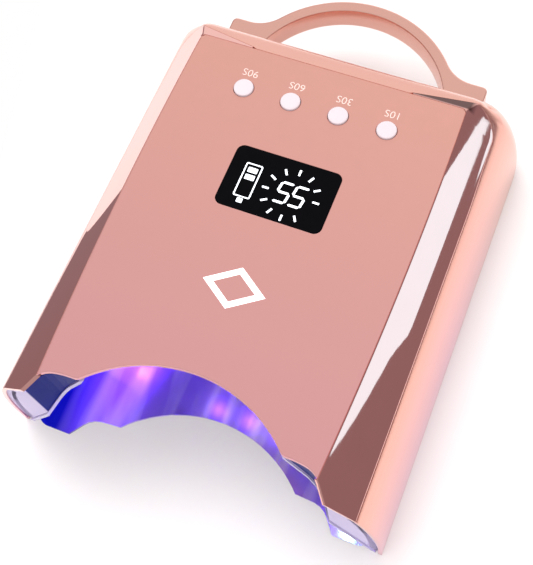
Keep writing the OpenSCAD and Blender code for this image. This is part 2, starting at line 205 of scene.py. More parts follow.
def lathe(name, profile, matrix, steps=72):
    """A turned piece; profile is a list of radius and height."""
    bm = bmesh.new()
    rings = []
    for r, z in profile:
        if r == 0:
            rings.append([bm.verts.new((0, 0, z * MM))])
        else:
            rings.append([bm.verts.new((r * MM * math.cos(2 * math.pi * k / steps),
                                        r * MM * math.sin(2 * math.pi * k / steps), z * MM))
                          for k in range(steps)])
    for a, b in zip(rings, rings[1:]):
        for k in range(steps):
            n = (k + 1) % steps
            quad = [a[k % len(a)], a[n % len(a)], b[n % len(b)], b[k % len(b)]]
            quad = [v for i, v in enumerate(quad) if v not in quad[:i]]
            if len(quad) > 2:
                bm.faces.new(quad)
    bm.transform(matrix)
    return new_object(name, bm)


# ---- outer form: curved walls, chamfers, rear band ------------------------------

WALL_R = 200
BASE_HALF_W = 102.5
WALL_CX = BASE_HALF_W - WALL_R
RIDGE_DEPTH = 17.3
RIDGE_X = WALL_CX + math.sqrt(WALL_R ** 2 - (DECK_H - RIDGE_DEPTH) ** 2)
RIDGE_CORNER_R = 14
CORNER_X, CORNER_Y = RIDGE_X - RIDGE_CORNER_R, 229.5 - RIDGE_CORNER_R
PANEL_L, PANEL_CORNER_R = 211, 3
RING_X, RING_Y, RING_R = 77.6, 208.5, 11      # the corner of the top cover, in plan
WEDGE_X, WEDGE_Y = 42, 211.8                  # where its edge meets the panel at the rear
BAND_SLOPE = math.tan(math.radians(28.4))
RIDGE_ROUND, REAR_ROUND = 3.0, 8.0
SEAM_BOW_Y, SEAM_MAX_X, SEAM_BOW_R = 150, 73.3, 2309
SHOULDER, SHOULDER_RISE = 2.3, 0.42           # how far, and how early, the walls bulge
WALL_INSET = 0.05        # keeps the bulge inside the CAD model's box
CROWN = 0.06             # how far the chamfer is domed
MITRE_SOFT = 1.2
SKIN, SKIRT_RIM, COVER_RIM = 2.2, 0.35, 0.25  # wall thickness and the rounding of the rims
LINE = 0.14              # half of a parting line
SPLIT_Y = 165            # from here to the fan the cover's edge moves in to its corner ring
FULLER = 0.05            # growth of the corner's plan radius with the reach of the walls
SOFTEN = 1.8             # how fast the ridge grows rounder round the corner
SHAPED_Y = 10            # the front end is shaped up to here
UPRIGHT_Y = 40           # sections in front of this one turn upright, for a plane front end
DEEPEST_Y = 241          # the rear wall, where it meets the table
TAB_X, TAB_Y, TAB_IN = 75.5, 6.9, 5.2         # the front end's first leg, going inwards
NOTCH_Y, NOTCH_IN = 2.5, 2.3                  # and its second, steeper leg
JACK_HOLE_R, JACK_HOLE_L, JACK_Z, REAR_Y = 4.8, 12, 19.5, 240

# Sections: the y of those at the front end, then how many more along the side, round the
# corner and along half of the rear.
FRONT_SECTIONS = [0, 0.8, 1.7, 2.6, 3.5, 4.4, 5.3, 6.1, 6.9, 7.6, 8.2, 8.8, 9.6, 11]
SIDE_STEPS, FAN_STEPS, REAR_STEPS = 42, 48, 30

# Points along a section: on the top, round the ridge, down the wall, and after the split on
# the cover, on the skirt's first EDGE_RUN millimetres and on the rest of the skirt.
TOP_STEPS, ROUND_STEPS, WALL_STEPS = 12, 16, 16
COVER_STEPS, EDGE_STEPS, SKIRT_STEPS = 44, 36, 16
EDGE_RUN = 16
ROUND_BACK = 0.72        # where the ridge's rounding starts, as a part of its size
REACH, HALVINGS = 40, 40                      # of the search for the ridge
LOWEST_Z = -90           # the search looks at the wall no lower than this
TINY, NIL = 0.02, 1e-9   # the shortest piece of a section; stands in for a zero divisor


def smooth_between(t):
    """0 to 1 with a soft start and end."""
    t = max(0.0, min(1.0, t))
    return t * t * (3 - 2 * t)


def seam_x(y):
    return SEAM_MAX_X - (y - SEAM_BOW_Y) ** 2 / (2 * SEAM_BOW_R)


# The sections round a rear corner all pass through the middle of the panel's corner arc.
FAN_Y = PANEL_L - PANEL_CORNER_R
FAN_X = seam_x(FAN_Y) - PANEL_CORNER_R


def wall_x(z):
    """Half width of the walls at a height, with a fuller shoulder under the ridge."""
    t = max(0.0, min(1.0, (-RIDGE_DEPTH - z) / (DECK_H - RIDGE_DEPTH)))
    shoulder = SHOULDER * math.sin(math.pi * t ** SHOULDER_RISE)
    plain = WALL_CX + math.sqrt(WALL_R ** 2 - (z + DECK_H) ** 2)
    return min(BASE_HALF_W - WALL_INSET, plain + shoulder)


def soft_max(a, b, k):
    """The larger of two depths, blended where they are within k of each other."""
    h = max(0.0, min(1.0, 0.5 + 0.5 * (a - b) / k))
    return b + (a - b) * h + k * h * (1 - h)


def depth(x, y):
    """How far the top surface is under the deck at a place outside the panel."""
    seam = seam_x(y)
    u = (x - seam) / (RIDGE_X - seam)
    across = max(0, min(u, 1))
    side = RIDGE_DEPTH * u - 4 * CROWN * across * (1 - across)
    rear = (y - PANEL_L) * BAND_SLOPE
    return max(0.0, soft_max(side, rear, MITRE_SOFT))


def front_x(y):
    """The x of the shaped front end, for y from 0 to where it meets the seam."""
    if y < TAB_Y:
        return TAB_X - y * TAB_IN / TAB_Y
    return TAB_X - TAB_IN - (y - TAB_Y) * NOTCH_IN / NOTCH_Y


def profile(place, start, wall_rho, limit, base, soft=RIDGE_ROUND):
    """Points down one section. place(rho) gives x, y; wall_rho(z) the wall; limit is the
    rho where the cover ends; soft is the rounding of the ridge. Returns the cover's and the
    skirt's parts."""
    lo, hi = start, start + REACH
    for _ in range(HALVINGS):
        mid = (lo + hi) / 2
        if wall_rho(max(-depth(*place(mid)), LOWEST_Z)) - mid > 0:
            lo = mid
        else:
            hi = mid
    ridge = lo
    z_ridge = -depth(*place(ridge))
    back = max(start + TINY, ridge - soft * ROUND_BACK)
    p0 = (back, -depth(*place(back)))
    p2 = (wall_rho(z_ridge - soft), z_ridge - soft)
    line = [start + (back - start) * i / TOP_STEPS for i in range(TOP_STEPS)]
    line = [(r, -depth(*place(r))) for r in line]
    for i in range(ROUND_STEPS + 1):
        t = i / ROUND_STEPS
        line.append(((1 - t) ** 2 * p0[0] + 2 * t * (1 - t) * ridge + t * t * p2[0],
                     (1 - t) ** 2 * p0[1] + 2 * t * (1 - t) * z_ridge + t * t * p2[1]))
    top_len = len(line)
    for i in range(1, WALL_STEPS + 1):
        z = p2[1] + (base - p2[1]) * i / WALL_STEPS
        line.append((wall_rho(z), z))
    run = [0.0]
    for a, b in zip(line, line[1:]):
        run.append(run[-1] + math.dist(a, b))
    split = run[top_len - 1]
    if limit < line[top_len - 1][0]:
        for i in range(top_len - 1):
            if line[i][0] <= limit <= line[i + 1][0]:
                t = (limit - line[i][0]) / max(NIL, line[i + 1][0] - line[i][0])
                split = run[i] + t * (run[i + 1] - run[i])
                break
        else:
            split = 0.0

    def at(s):
        for i in range(len(run) - 1):
            if s <= run[i + 1]:
                t = (s - run[i]) / max(NIL, run[i + 1] - run[i])
                return (line[i][0] + t * (line[i + 1][0] - line[i][0]),
                        line[i][1] + t * (line[i + 1][1] - line[i][1]))
        return line[-1]

    def part(s0, s1, n):
        return [at(s0 + (s1 - s0) * (i / n)) for i in range(n + 1)]

    cover = part(LINE, max(LINE + TINY, split - LINE), COVER_STEPS)
    edge = split + LINE + EDGE_RUN
    skirt = part(split + LINE, edge, EDGE_STEPS) + part(edge, run[-1], SKIRT_STEPS)[1:]
    return cover, skirt


def base_z(y):
    """The table's height in the deck frame, under a place on the deck."""
    return (-DECK_H + y * SLOPE_S) / SLOPE_C


def corner_reach(z, c, s):
    """Distance from the panel's corner to the wall at a height, in the direction c, s. In plan
    the walls meet in a corner that is fuller the lower it is."""
    reach = wall_x(z) - CORNER_X
    r = min(reach, RIDGE_CORNER_R + FULLER * max(0, reach - RIDGE_CORNER_R))
    m = reach - r
    ox, oy = FAN_X - CORNER_X, FAN_Y - CORNER_Y
    if c > 0 and oy + s * (reach - ox) / c <= m:
        return (reach - ox) / c
    if s > 0 and ox + c * (reach - oy) / s <= m:
        return (reach - oy) / s
    qx, qy = ox - m, oy - m
    b = qx * c + qy * s
    return -b + math.sqrt(b * b - (qx * qx + qy * qy - r * r))


def ring_reach(c, s):
    """Distance from the panel's corner to the end of the top cover, in the direction c, s."""
    qx, qy = FAN_X - RING_X, FAN_Y - RING_Y
    b = qx * c + qy * s
    reach = -b + math.sqrt(b * b - (qx * qx + qy * qy - RING_R ** 2))
    if FAN_X + reach * c < RING_X:
        dx, dy = RING_X - WEDGE_X, RING_Y + RING_R - WEDGE_Y
        reach = (dx * (WEDGE_Y - FAN_Y) - dy * (WEDGE_X - FAN_X)) / (dx * s - dy * c)
    return reach




def outer_stations():
    """Sections round the right half, from the front to the middle of the rear. Each is the
    cover's part, the skirt's part and whether there is a cover."""
    stations = []
    front = FRONT_SECTIONS[-1]
    side = FRONT_SECTIONS + [front + (FAN_Y - front) * i / SIDE_STEPS
                             for i in range(1, SIDE_STEPS + 1)]
    top = wall_x(-RIDGE_DEPTH - RIDGE_ROUND) + 0.01
    for y in side:
        start = max(seam_x(y), front_x(y)) if y < SHAPED_Y else seam_x(y)
        lean = max(0.0, 1 - y / UPRIGHT_Y) * math.tan(SLOPE)
        moved = smooth_between((y - SPLIT_Y) / (FAN_Y - SPLIT_Y))
        limit = top - (top - FAN_X - ring_reach(1, 0)) * moved
        cover, skirt = profile(lambda r, y=y: (r, y), start, wall_x, limit, base_z(y))
        put = lambda pts, y=y, lean=lean: [deck(r, y - z * lean, z) for r, z in pts]
        stations.append((put(cover), put(skirt), True))
    for i in range(1, FAN_STEPS + 1):
        a = math.radians(90 * i / FAN_STEPS)
        c, s = math.cos(a), math.sin(a)
        place = lambda r, c=c, s=s: (FAN_X + r * c, FAN_Y + r * s)
        soft = RIDGE_ROUND + (REAR_ROUND - RIDGE_ROUND) * smooth_between(i / FAN_STEPS * SOFTEN)
        cover, skirt = profile(place, PANEL_CORNER_R, lambda z: corner_reach(z, c, s),
                               ring_reach(c, s), base_z(FAN_Y + (DEEPEST_Y - FAN_Y) * s), soft)
        put = lambda pts: [deck(*place(r), z) for r, z in pts]
        stations.append((put(cover), put(skirt), True))
    for i in range(1, REAR_STEPS + 1):
        x = FAN_X * (1 - i / REAR_STEPS)
        covered = x > WEDGE_X
        slope = (RING_Y + RING_R - WEDGE_Y) / (RING_X - WEDGE_X)
        limit = WEDGE_Y + (x - WEDGE_X) * slope if covered else PANEL_L - 1
        cover, skirt = profile(lambda r, x=x: (x, r), PANEL_L,
                               lambda z: wall_x(z) - CORNER_X + CORNER_Y, limit, base_z(DEEPEST_Y),
                               REAR_ROUND)
        put = lambda pts, x=x: [deck(x, r, z) for r, z in pts]
        stations.append((put(cover), put(skirt), covered))
    return stations


def flat_base(points):
    """Brings the last point of a profile down to the table."""
    last, prev = points[-1], points[-2]
    t = last.z / max(NIL, prev.z - last.z)
    points[-1] = Vector((last.x + (last.x - prev.x) * t, last.y + (last.y - prev.y) * t, 0.0))
    return points


def mirror_x(points):
    return [Vector((-p.x, p.y, p.z)) for p in points]


def drill(obj, radius, middle, length):
    """Cuts a round hole along Y."""
    bm = bmesh.new()
    bmesh.ops.create_cone(bm, cap_ends=True, segments=64, radius1=radius * MM, radius2=radius * MM,
                          depth=length * MM, matrix=Matrix.Translation(middle)
                          @ Matrix.Rotation(math.pi / 2, 4, "X"))
    cutter = new_object("cutter", bm)
    cut = obj.modifiers.new("hole", "BOOLEAN")
    cut.object, cut.solver, cut.operation = cutter, "EXACT", "DIFFERENCE"
    obj = bake_modifiers(obj)
    bpy.data.objects.remove(cutter)
    return obj


STATIONS = outer_stations()
INSIDE = table(0, 110, 50)

skirt_profiles = [flat_base(s) for _, s, _ in STATIONS]
skirt = loft("skirt_shell", skirt_profiles + [mirror_x(p) for p in reversed(skirt_profiles[:-1])])
skirt = thicken(skirt, SKIN, SKIRT_RIM, INSIDE)
skirt = drill(skirt, JACK_HOLE_R, table(0, REAR_Y, JACK_Z), JACK_HOLE_L)
keep_inside(skirt)

cover_profiles = [c for c, _, covered in STATIONS if covered]
bm = bmesh.new()
for flip in (False, True):
    rows = [[bm.verts.new(p) for p in (mirror_x(c) if flip else c)] for c in cover_profiles]
    for a, b in zip(rows, rows[1:]):
        for i in range(len(a) - 1):
            ring = (a[i], a[i + 1], b[i + 1], b[i])
            bm.faces.new(ring if flip else (ring[0], ring[3], ring[2], ring[1]))
cover = new_object("cover_shell", bm)
cover = thicken(cover, SKIN, COVER_RIM, INSIDE)
keep_inside(cover)

# ---- deck panel ------------------------------------------------------------------

BUTTONS = [("90s", -38.7), ("60s", -12.9), ("30s", 12.9), ("10s", 38.7)]
BUTTON_Y = 186
BUTTON_R = 5.2
DISPLAY = (0, 137, 55.4, 35, 4)               # middle, width, length, corner radius
ARCH_R, ARCH_DEPTH = 70, 34.5


SCREEN_GAP, BUTTON_GAP = 0.3, 0.22
PANEL_T, PANEL_EDGE = 3, 0.22


def panel_half():
    """Right half of the panel's outline, from the middle of the arch to the rear corner."""
    pts = arc(0, ARCH_DEPTH - ARCH_R, ARCH_R, 90, 44.6, 40)
    pts += [(51.6, 12.9), (54, 12.95), (58, 12.75), (61.5, 12.3), (63.4, 11.9), (65, 11.3),
            (66.6, 10.45), (68.0, 9.4)]
    meet = next(y / 100 for y in range(600, 940) if seam_x(y / 100) >= front_x(y / 100))
    pts += [(front_x(meet) - LINE, meet)]
    side = [meet + 2 + (FAN_Y - meet - 2) * i / 40 for i in range(41)]
    pts += [(seam_x(y) - LINE, y) for y in side]
    pts += arc(FAN_X, FAN_Y, PANEL_CORNER_R - LINE, 8, 90, 10)
    return pts


half = panel_half()
outline = half + [(-x, y) for x, y in reversed(half)]
holes = [rounded_rect(*DISPLAY[:2], DISPLAY[2] + SCREEN_GAP, DISPLAY[3] + SCREEN_GAP, DISPLAY[4])]
holes += [arc(x, BUTTON_Y, BUTTON_R + BUTTON_GAP, 0, 354, 59) for _, x in BUTTONS]
panel = plate("deck_panel", [outline] + holes, -PANEL_T, 0, DECK_MATRIX, PANEL_EDGE)

lens = plate("display_glass", [rounded_rect(*DISPLAY)], -PANEL_T, 0.02, DECK_MATRIX, 0.3)

# ---- front ends of the side bays, between the end caps and the fuller walls --------------

CAP_EDGE_IN, CAP_EDGE_OUT, CAP_SET_BACK, CAP_DEPTH = 7.5, 1.2, 1.0, 2.0
CAP_TOP_GAP, CAP_BOTTOM, CAP_STEPS = 2, 2.6, 24


def cap_edge(name, side):
    """A thin upright strip that follows the wall; side is 1 on the right and -1 on the left."""
    top, bottom = -RIDGE_DEPTH - CAP_TOP_GAP, CAP_BOTTOM - DECK_H
    heights = [top + (bottom - top) * i / CAP_STEPS for i in range(CAP_STEPS + 1)]
    outer = [(side * (wall_x(z) - CAP_EDGE_OUT), DECK_H + z) for z in heights]
    inner = [(side * (wall_x(z) - CAP_EDGE_IN), DECK_H + z) for z in reversed(heights)]
    stand = (TABLE_MATRIX @ Matrix.Translation((0, CAP_SET_BACK * MM, 0))
             @ Matrix.Rotation(math.pi / 2, 4, "X"))
    return plate(name, [outer + inner], -CAP_DEPTH, 0, stand, 0.1)


cap_edges = [cap_edge("cap_edge_right", 1), cap_edge("cap_edge_left", -1)]

# ---- emblem: a plain diamond outline ------------------------------------------------

EMBLEM_Y, EMBLEM_HALF, EMBLEM_FLAT, EMBLEM_STROKE = 80, 16, 0.7, 3
EMBLEM_WIDEN = 1.75      # a stroke's length along the diamond's axis, for its width


def diamond(half_x):
    """Four corners round the emblem's middle."""
    return [(half_x, EMBLEM_Y), (0, EMBLEM_Y + half_x * EMBLEM_FLAT),
            (-half_x, EMBLEM_Y), (0, EMBLEM_Y - half_x * EMBLEM_FLAT)]


emblem = plate("emblem_outline",
               [diamond(EMBLEM_HALF), diamond(EMBLEM_HALF - EMBLEM_STROKE * EMBLEM_WIDEN)],
               -1.1, 0.08, DECK_MATRIX, 0.08)

# ---- display marks and button labels ----------------------------------------------
# Both are read from the handle side, so they're turned half a turn.


def bar(cx, cy, length, width, angle):
    """A rectangle that points in a direction given in degrees."""
    a = math.radians(angle)
    ux, uy = math.cos(a) * length / 2, math.sin(a) * length / 2
    vx, vy = -math.sin(a) * width / 2, math.cos(a) * width / 2
    return [(cx + ux + vx, cy + uy + vy), (cx - ux + vx, cy - uy + vy),
            (cx - ux - vx, cy - uy - vy), (cx + ux - vx, cy + uy - vy)]


def digit_five(cx, cy, w=6.2, h=11.2, t=1.25, slant=0.14):
    """The five lit segments of a slanted seven-segment 5, upside down on the deck."""
    flat, upright = w - t * 1.3, h / 2 - t * 1.2
    bars = [(0, -h / 2, flat, t, 0), (0, 0, flat, t, 0), (0, h / 2, flat, t, 0),
            (w / 2, -h / 4, upright, t, 90), (-w / 2, h / 4, upright, t, 90)]
    shapes = []
    for x, y, length, width, angle in bars:
        if angle:
            tip = [(x - width / 2, y - length / 2), (x, y - length / 2 - width / 2),
                   (x + width / 2, y - length / 2), (x + width / 2, y + length / 2),
                   (x, y + length / 2 + width / 2), (x - width / 2, y + length / 2)]
        else:
            tip = [(x - length / 2, y - width / 2), (x + length / 2, y - width / 2),
                   (x + length / 2 + width / 2, y), (x + length / 2, y + width / 2),
                   (x - length / 2, y + width / 2), (x - length / 2 - width / 2, y)]
        shapes.append([(cx + px + slant * py, cy + py) for px, py in tip])
    return shapes


TICK_X, TICK_Y, TICK_R, TICK_L, TICK_W = 6.9, 135.4, 13.2, 3.4, 1.05
TICK_STEP, TICK_GAP = 30, 330
marks = [bar(TICK_X + TICK_R * math.cos(math.radians(a)),
             TICK_Y + TICK_R * math.sin(math.radians(a)), TICK_L, TICK_W, a)
         for a in range(0, 360, TICK_STEP) if a != TICK_GAP]
DIGIT_X, DIGIT_Y = (3.1, 11.0), 135.6
for x in DIGIT_X:
    marks += digit_five(x, DIGIT_Y)
BATTERY_X, BATTERY_Y = -15.75, 136.1
marks += [rounded_rect(BATTERY_X, BATTERY_Y, 8.9, 19.6, 1.0, 4)]       # outline, outside
marks += [rounded_rect(BATTERY_X, BATTERY_Y, 7.5, 18.2, 0.5, 4)]       # outline, inside
marks += [rounded_rect(BATTERY_X, 124.5, 3.0, 2.6, 0.4, 4)]            # terminal
marks += [rounded_rect(BATTERY_X, y, 5.0, 2.9, 0.3, 4) for y in (142.2, 138.0)]   # two bars
display_marks = plate("display_marks", marks, 0.01, 0.05, DECK_MATRIX, 0)

LABEL_SIZE, LABEL_THIN, LABEL_GAP = 6.0, 0.06, 10


def label(text, x, y):
    """Text printed on the deck."""
    font = bpy.data.curves.new("label_" + text, "FONT")
    font.body = text
    font.size = LABEL_SIZE * MM
    font.align_x, font.align_y = "CENTER", "CENTER"
    font.extrude = 0.015 * MM
    font.offset = -LABEL_THIN * MM
    obj = bpy.data.objects.new("label_" + text, font)
    bpy.context.scene.collection.objects.link(obj)
    obj.matrix_world = (DECK_MATRIX @ Matrix.Translation((x * MM, y * MM, 0.02 * MM))
                        @ Matrix.Rotation(math.pi, 4, "Z"))
    return bake_modifiers(obj)


labels = [label(name.upper(), x, BUTTON_Y + LABEL_GAP) for name, x in BUTTONS]

# ---- timer buttons ---------------------------------------------------------------

# Radius and height, from the middle of the underside to the middle of the top.
BUTTON_PROFILE = [(0, -3.6), (5.0, -3.6), (5.15, -3.4), (5.2, 0.45), (5.12, 0.72), (4.9, 0.93),
                  (4.55, 1.05), (3.6, 1.12), (2.4, 1.16), (1.2, 1.18), (0, 1.18)]
buttons = {name: lathe("button_cap_" + name, BUTTON_PROFILE,
                       DECK_MATRIX @ Matrix.Translation((x * MM, BUTTON_Y * MM, 0)))
           for name, x in BUTTONS}

# ---- handle ----------------------------------------------------------------------

GRIP_R, GRIP_W, GRIP_Y, GRIP_Z, GRIP_H = 57, 6.5, 218.5, 30, 14.4
FOOT_X, FOOT_Y, FOOT_R, FILLET_R = 75.4, 250, 3, 20
EMBED_Y = 234.5          # the feet's ends, inside the rear wall


def handle_half():
    """Plan of the right half: its outer side down to the foot, and its inner side."""
    outer = GRIP_R + GRIP_W
    fy = FOOT_Y + FILLET_R
    fx = math.sqrt((outer + FILLET_R) ** 2 - (fy - GRIP_Y) ** 2)
    touch = math.degrees(math.atan2(fy - GRIP_Y, fx))
    pts = arc(0, GRIP_Y, outer, 90, touch, 40)
    pts += arc(fx, fy, FILLET_R, touch + 180, 270, 14)[1:]
    pts += arc(FOOT_X - FOOT_R, FOOT_Y - FOOT_R, FOOT_R, 90, 0, 8)
    pts += [(FOOT_X, EMBED_Y)]
    inner = math.degrees(math.asin((EMBED_Y - GRIP_Y) / GRIP_R))
    return pts, arc(0, GRIP_Y, GRIP_R, inner, 90, 56)


outer_half, inner_half = handle_half()
outline = ([(-x, y) for x, y in reversed(outer_half)] + outer_half[1:] + inner_half
           + [(-x, y) for x, y in reversed(inner_half[:-1])])
grip = plate("handle_grip", [outline], GRIP_Z, GRIP_Z + GRIP_H, TABLE_MATRIX, 1.0, 3)

# ---- materials -------------------------------------------------------------------


def shader(name, base, metallic=0.0, rough=0.4, rough_to=None, tint=0.06, grain=900.0, bump=0.0,
           bump_scale=2500.0, coat=0.0, emission=None, strength=0.0, level=0.5):
    """A Principled material whose colour, roughness and fine relief vary over the surface."""
    mat = bpy.data.materials.new(name)
    mat.use_nodes = True
    tree = mat.node_tree
    bsdf = tree.nodes["Principled BSDF"]
    coords = tree.nodes.new("ShaderNodeTexCoord")
    noise = tree.nodes.new("ShaderNodeTexNoise")
    noise.inputs["Scale"].default_value = grain
    noise.inputs["Detail"].default_value = 4
    tree.links.new(coords.outputs["Object"], noise.inputs["Vector"])
    mix = tree.nodes.new("ShaderNodeMix")
    mix.data_type = "RGBA"
    mix.inputs["A"].default_value = (*[c * (1 - tint) for c in base], 1)
    mix.inputs["B"].default_value = (*[min(1, c * (1 + tint * 0.5)) for c in base], 1)
    tree.links.new(noise.outputs["Fac"], mix.inputs["Factor"])
    tree.links.new(mix.outputs["Result"], bsdf.inputs["Base Color"])
    ramp = tree.nodes.new("ShaderNodeMapRange")
    ramp.inputs["To Min"].default_value = rough
    ramp.inputs["To Max"].default_value = rough_to if rough_to is not None else rough * 1.25
    tree.links.new(noise.outputs["Fac"], ramp.inputs["Value"])
    tree.links.new(ramp.outputs["Result"], bsdf.inputs["Roughness"])
    if bump:
        fine = tree.nodes.new("ShaderNodeTexNoise")
        fine.inputs["Scale"].default_value = bump_scale
        fine.inputs["Detail"].default_value = 3
        tree.links.new(coords.outputs["Object"], fine.inputs["Vector"])
        relief = tree.nodes.new("ShaderNodeBump")
        relief.inputs["Strength"].default_value = bump
        relief.inputs["Distance"].default_value = 0.0001
        tree.links.new(fine.outputs["Fac"], relief.inputs["Height"])
        tree.links.new(relief.outputs["Normal"], bsdf.inputs["Normal"])
    bsdf.inputs["Metallic"].default_value = metallic
    bsdf.inputs["Coat Weight"].default_value = coat
    bsdf.inputs["Coat Roughness"].default_value = 0.05
    bsdf.inputs["IOR"].default_value = 1.5
    bsdf.inputs["Specular IOR Level"].default_value = level
    if emission:
        bsdf.inputs["Emission Color"].default_value = (*emission, 1)
        bsdf.inputs["Emission Strength"].default_value = strength
    return mat


# Name, colour, metallic, roughness from and to, depth of the tint, grain.
M = {
    "rose_chrome": shader("rose_chrome", (0.81, 0.43, 0.35), 1.0, 0.16, 0.21, 0.03, 60),
    "rose_mirror": shader("rose_mirror", (0.84, 0.47, 0.42), 1.0, 0.014, 0.02, 0.03, 60),
    "rose_panel": shader("rose_panel", (0.93, 0.51, 0.42), 1.0, 0.36, 0.42, 0.04, 140,
                         bump=0.08, bump_scale=9000),
    "rose_handle": shader("rose_handle", (0.84, 0.50, 0.42), 1.0, 0.20, 0.26, 0.03, 60),
    "black_glass": shader("black_glass", (0.003, 0.003, 0.004), 0, 0.08, 0.11, 0.2, 300,
                          level=0.02),
    "white_button": shader("white_button", (0.76, 0.68, 0.72), 0, 0.22, 0.28, 0.02, 300, coat=0.3),
    "white_diffuser": shader("white_diffuser", (0.95, 0.95, 0.97), 0, 0.3, 0.35, 0.02, 300,
                             emission=(1, 1, 1), strength=0.9),
    "circuit_board": shader("circuit_board", (0.03, 0.20, 0.08), 0, 0.4, 0.5, 0.2, 800, bump=0.1),
    "black_plastic": shader("black_plastic", (0.03, 0.03, 0.035), 0, 0.45, 0.55, 0.2, 900,
                            bump=0.2),
    "ivory_plastic": shader("ivory_plastic", (0.80, 0.77, 0.70), 0, 0.4, 0.5, 0.05, 700, bump=0.1),
    # painted light: the white liner's violet tint stands for the light of the UV LEDs
    "liner_white": shader("liner_white", (0.62, 0.58, 0.92), 0, 0.22, 0.3, 0.03, 250, coat=0.3),
    "cap_lilac": shader("cap_lilac", (0.74, 0.68, 0.97), 0, 0.35, 0.42, 0.03, 300, level=0.06),
    "led_board_white": shader("led_board_white", (0.86, 0.86, 0.90), 0, 0.4, 0.5, 0.04, 500),
    "uv_led": shader("uv_led", (0.6, 0.5, 1.0), 0, 0.2, 0.25, 0.05, 500,
                     emission=(0.30, 0.12, 1.0), strength=18),
    "sensor_violet": shader("sensor_violet", (0.08, 0.02, 0.16), 0, 0.15, 0.2, 0.2, 500),
    "cell_wrap": shader("cell_wrap", (0.05, 0.22, 0.46), 0, 0.3, 0.4, 0.1, 400),
    "rose_plastic": shader("rose_plastic", (0.70, 0.44, 0.38), 0, 0.4, 0.5, 0.05, 700, bump=0.15),
    "steel": shader("steel", (0.62, 0.62, 0.64), 1, 0.3, 0.4, 0.08, 900, bump=0.1),
    "magnet_nickel": shader("magnet_nickel", (0.6, 0.61, 0.63), 1, 0.2, 0.28, 0.08, 900),
    # painted light: the tray's violet colour stands for the UV LEDs' light on its mirror
    "tray_mirror": shader("tray_mirror", (0.44, 0.30, 0.94), 1.0, 0.12, 0.24, 0.10, 45),
    "foot_rubber": shader("foot_rubber", (0.09, 0.09, 0.10), 0, 0.7, 0.8, 0.2, 1500, bump=0.3),
    "display_light": shader("display_light", (0.9, 0.95, 1.0), 0, 0.4, 0.5, 0.02, 500,
                            emission=(0.86, 0.93, 1.0), strength=1.0),
    "label_print": shader("label_print", (0.92, 0.76, 0.70), 0, 0.4, 0.5, 0.03, 900),
}

SLOT_OF = {s["node"]: s["material_slot"] for s in frame["record"]["subparts"]}
for node, obj in NODES.items():
    obj.data.materials.clear()
    obj.data.materials.append(M[SLOT_OF[node]])


def ramp_node(tree, value, low, high):
    """A node that goes from 0 to 1 while the value goes from low to high."""
    step = tree.nodes.new("ShaderNodeMapRange")
    step.inputs["From Min"].default_value = low
    step.inputs["From Max"].default_value = high
    tree.links.new(value, step.inputs["Value"])
    return step.outputs["Result"]


def mix_colour_in(tree, factor, colour):
    """Blends a colour into what already reaches the material's base colour."""
    socket = tree.nodes["Principled BSDF"].inputs["Base Color"]
    mix = tree.nodes.new("ShaderNodeMix")
    mix.data_type = "RGBA"
    tree.links.new(factor, mix.inputs["Factor"])
    tree.links.new(socket.links[0].from_socket, mix.inputs["A"])
    mix.inputs["B"].default_value = (*colour, 1)
    tree.links.new(mix.outputs["Result"], socket)


def painted_light_zone(mat, colour, *limits):
    """Paints a reflection into a material as another base colour in part of the object. Each limit
    is an axis and the two places between which the colour comes in; an axis such as |X| goes both
    ways."""
    tree = mat.node_tree
    xyz = tree.nodes.new("ShaderNodeSeparateXYZ")
    tree.links.new(tree.nodes.new("ShaderNodeTexCoord").outputs["Object"], xyz.inputs["Vector"])
    factor = None
    for axis, low, high in limits:
        place = xyz.outputs[axis.strip("|")]
        if "|" in axis:
            size = tree.nodes.new("ShaderNodeMath")
            size.operation = "ABSOLUTE"
            tree.links.new(place, size.inputs[0])
            place = size.outputs["Value"]
        step = ramp_node(tree, place, low, high)
        if factor is None:
            factor = step
        else:
            both = tree.nodes.new("ShaderNodeMath")
            both.operation = "MULTIPLY"
            tree.links.new(factor, both.inputs[0])
            tree.links.new(step, both.inputs[1])
            factor = both.outputs["Value"]
    mix_colour_in(tree, factor, colour)


def streaks(mat, colour, scale, low, high):
    """Painted reflection: soft light streaks along Y in the base colour, as a film mirror shows
    under a row of lights.
    """
    tree = mat.node_tree
    stretch = tree.nodes.new("ShaderNodeMapping")
    stretch.inputs["Scale"].default_value = scale
    tree.links.new(tree.nodes.new("ShaderNodeTexCoord").outputs["Object"], stretch.inputs["Vector"])
    noise = tree.nodes.new("ShaderNodeTexNoise")
    noise.inputs["Scale"].default_value = 1.0
    noise.inputs["Detail"].default_value = 2
    tree.links.new(stretch.outputs["Vector"], noise.inputs["Vector"])
    mix_colour_in(tree, ramp_node(tree, noise.outputs["Fac"], low, high), colour)


# Fixed colours that stand for reflections in the photograph: the navy part of the end caps
# beside the hand space, the dark wedge behind the panel, the panel's cooler front, the lilac
# low on the front of the walls, and the tray's light streaks and its two ends.
painted_light_zone(M["cap_lilac"], (0.003, 0.012, 0.22), ("|X|", 0.07545, 0.07515))
painted_light_zone(M["rose_mirror"], (0.13, 0.065, 0.06), ("Y", 0.0695, 0.0710), ("X", 0.0, 0.03),
     ("X", 0.0765, 0.0735))
painted_light_zone(M["rose_panel"], (0.83, 0.44, 0.455), ("Y", 0.08, -0.14))
painted_light_zone(M["rose_chrome"], (0.82, 0.40, 0.49), ("Z", 0.066, 0.020), ("Y", 0.065, -0.03))
streaks(M["tray_mirror"], (0.90, 0.84, 1.0), (70, 9, 1), 0.47, 0.66)
painted_light_zone(M["tray_mirror"], (0.01, 0.02, 0.30), ("X", -0.060, -0.084))
painted_light_zone(M["tray_mirror"], (0.72, 0.92, 1.0), ("X", 0.074, 0.084))


def dress(obj, material, body="housing", replaces=()):
    obj.data.materials.clear()
    obj.data.materials.append(M[material])
    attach(obj, body)
    if replaces:
        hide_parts(*replaces)
    return obj


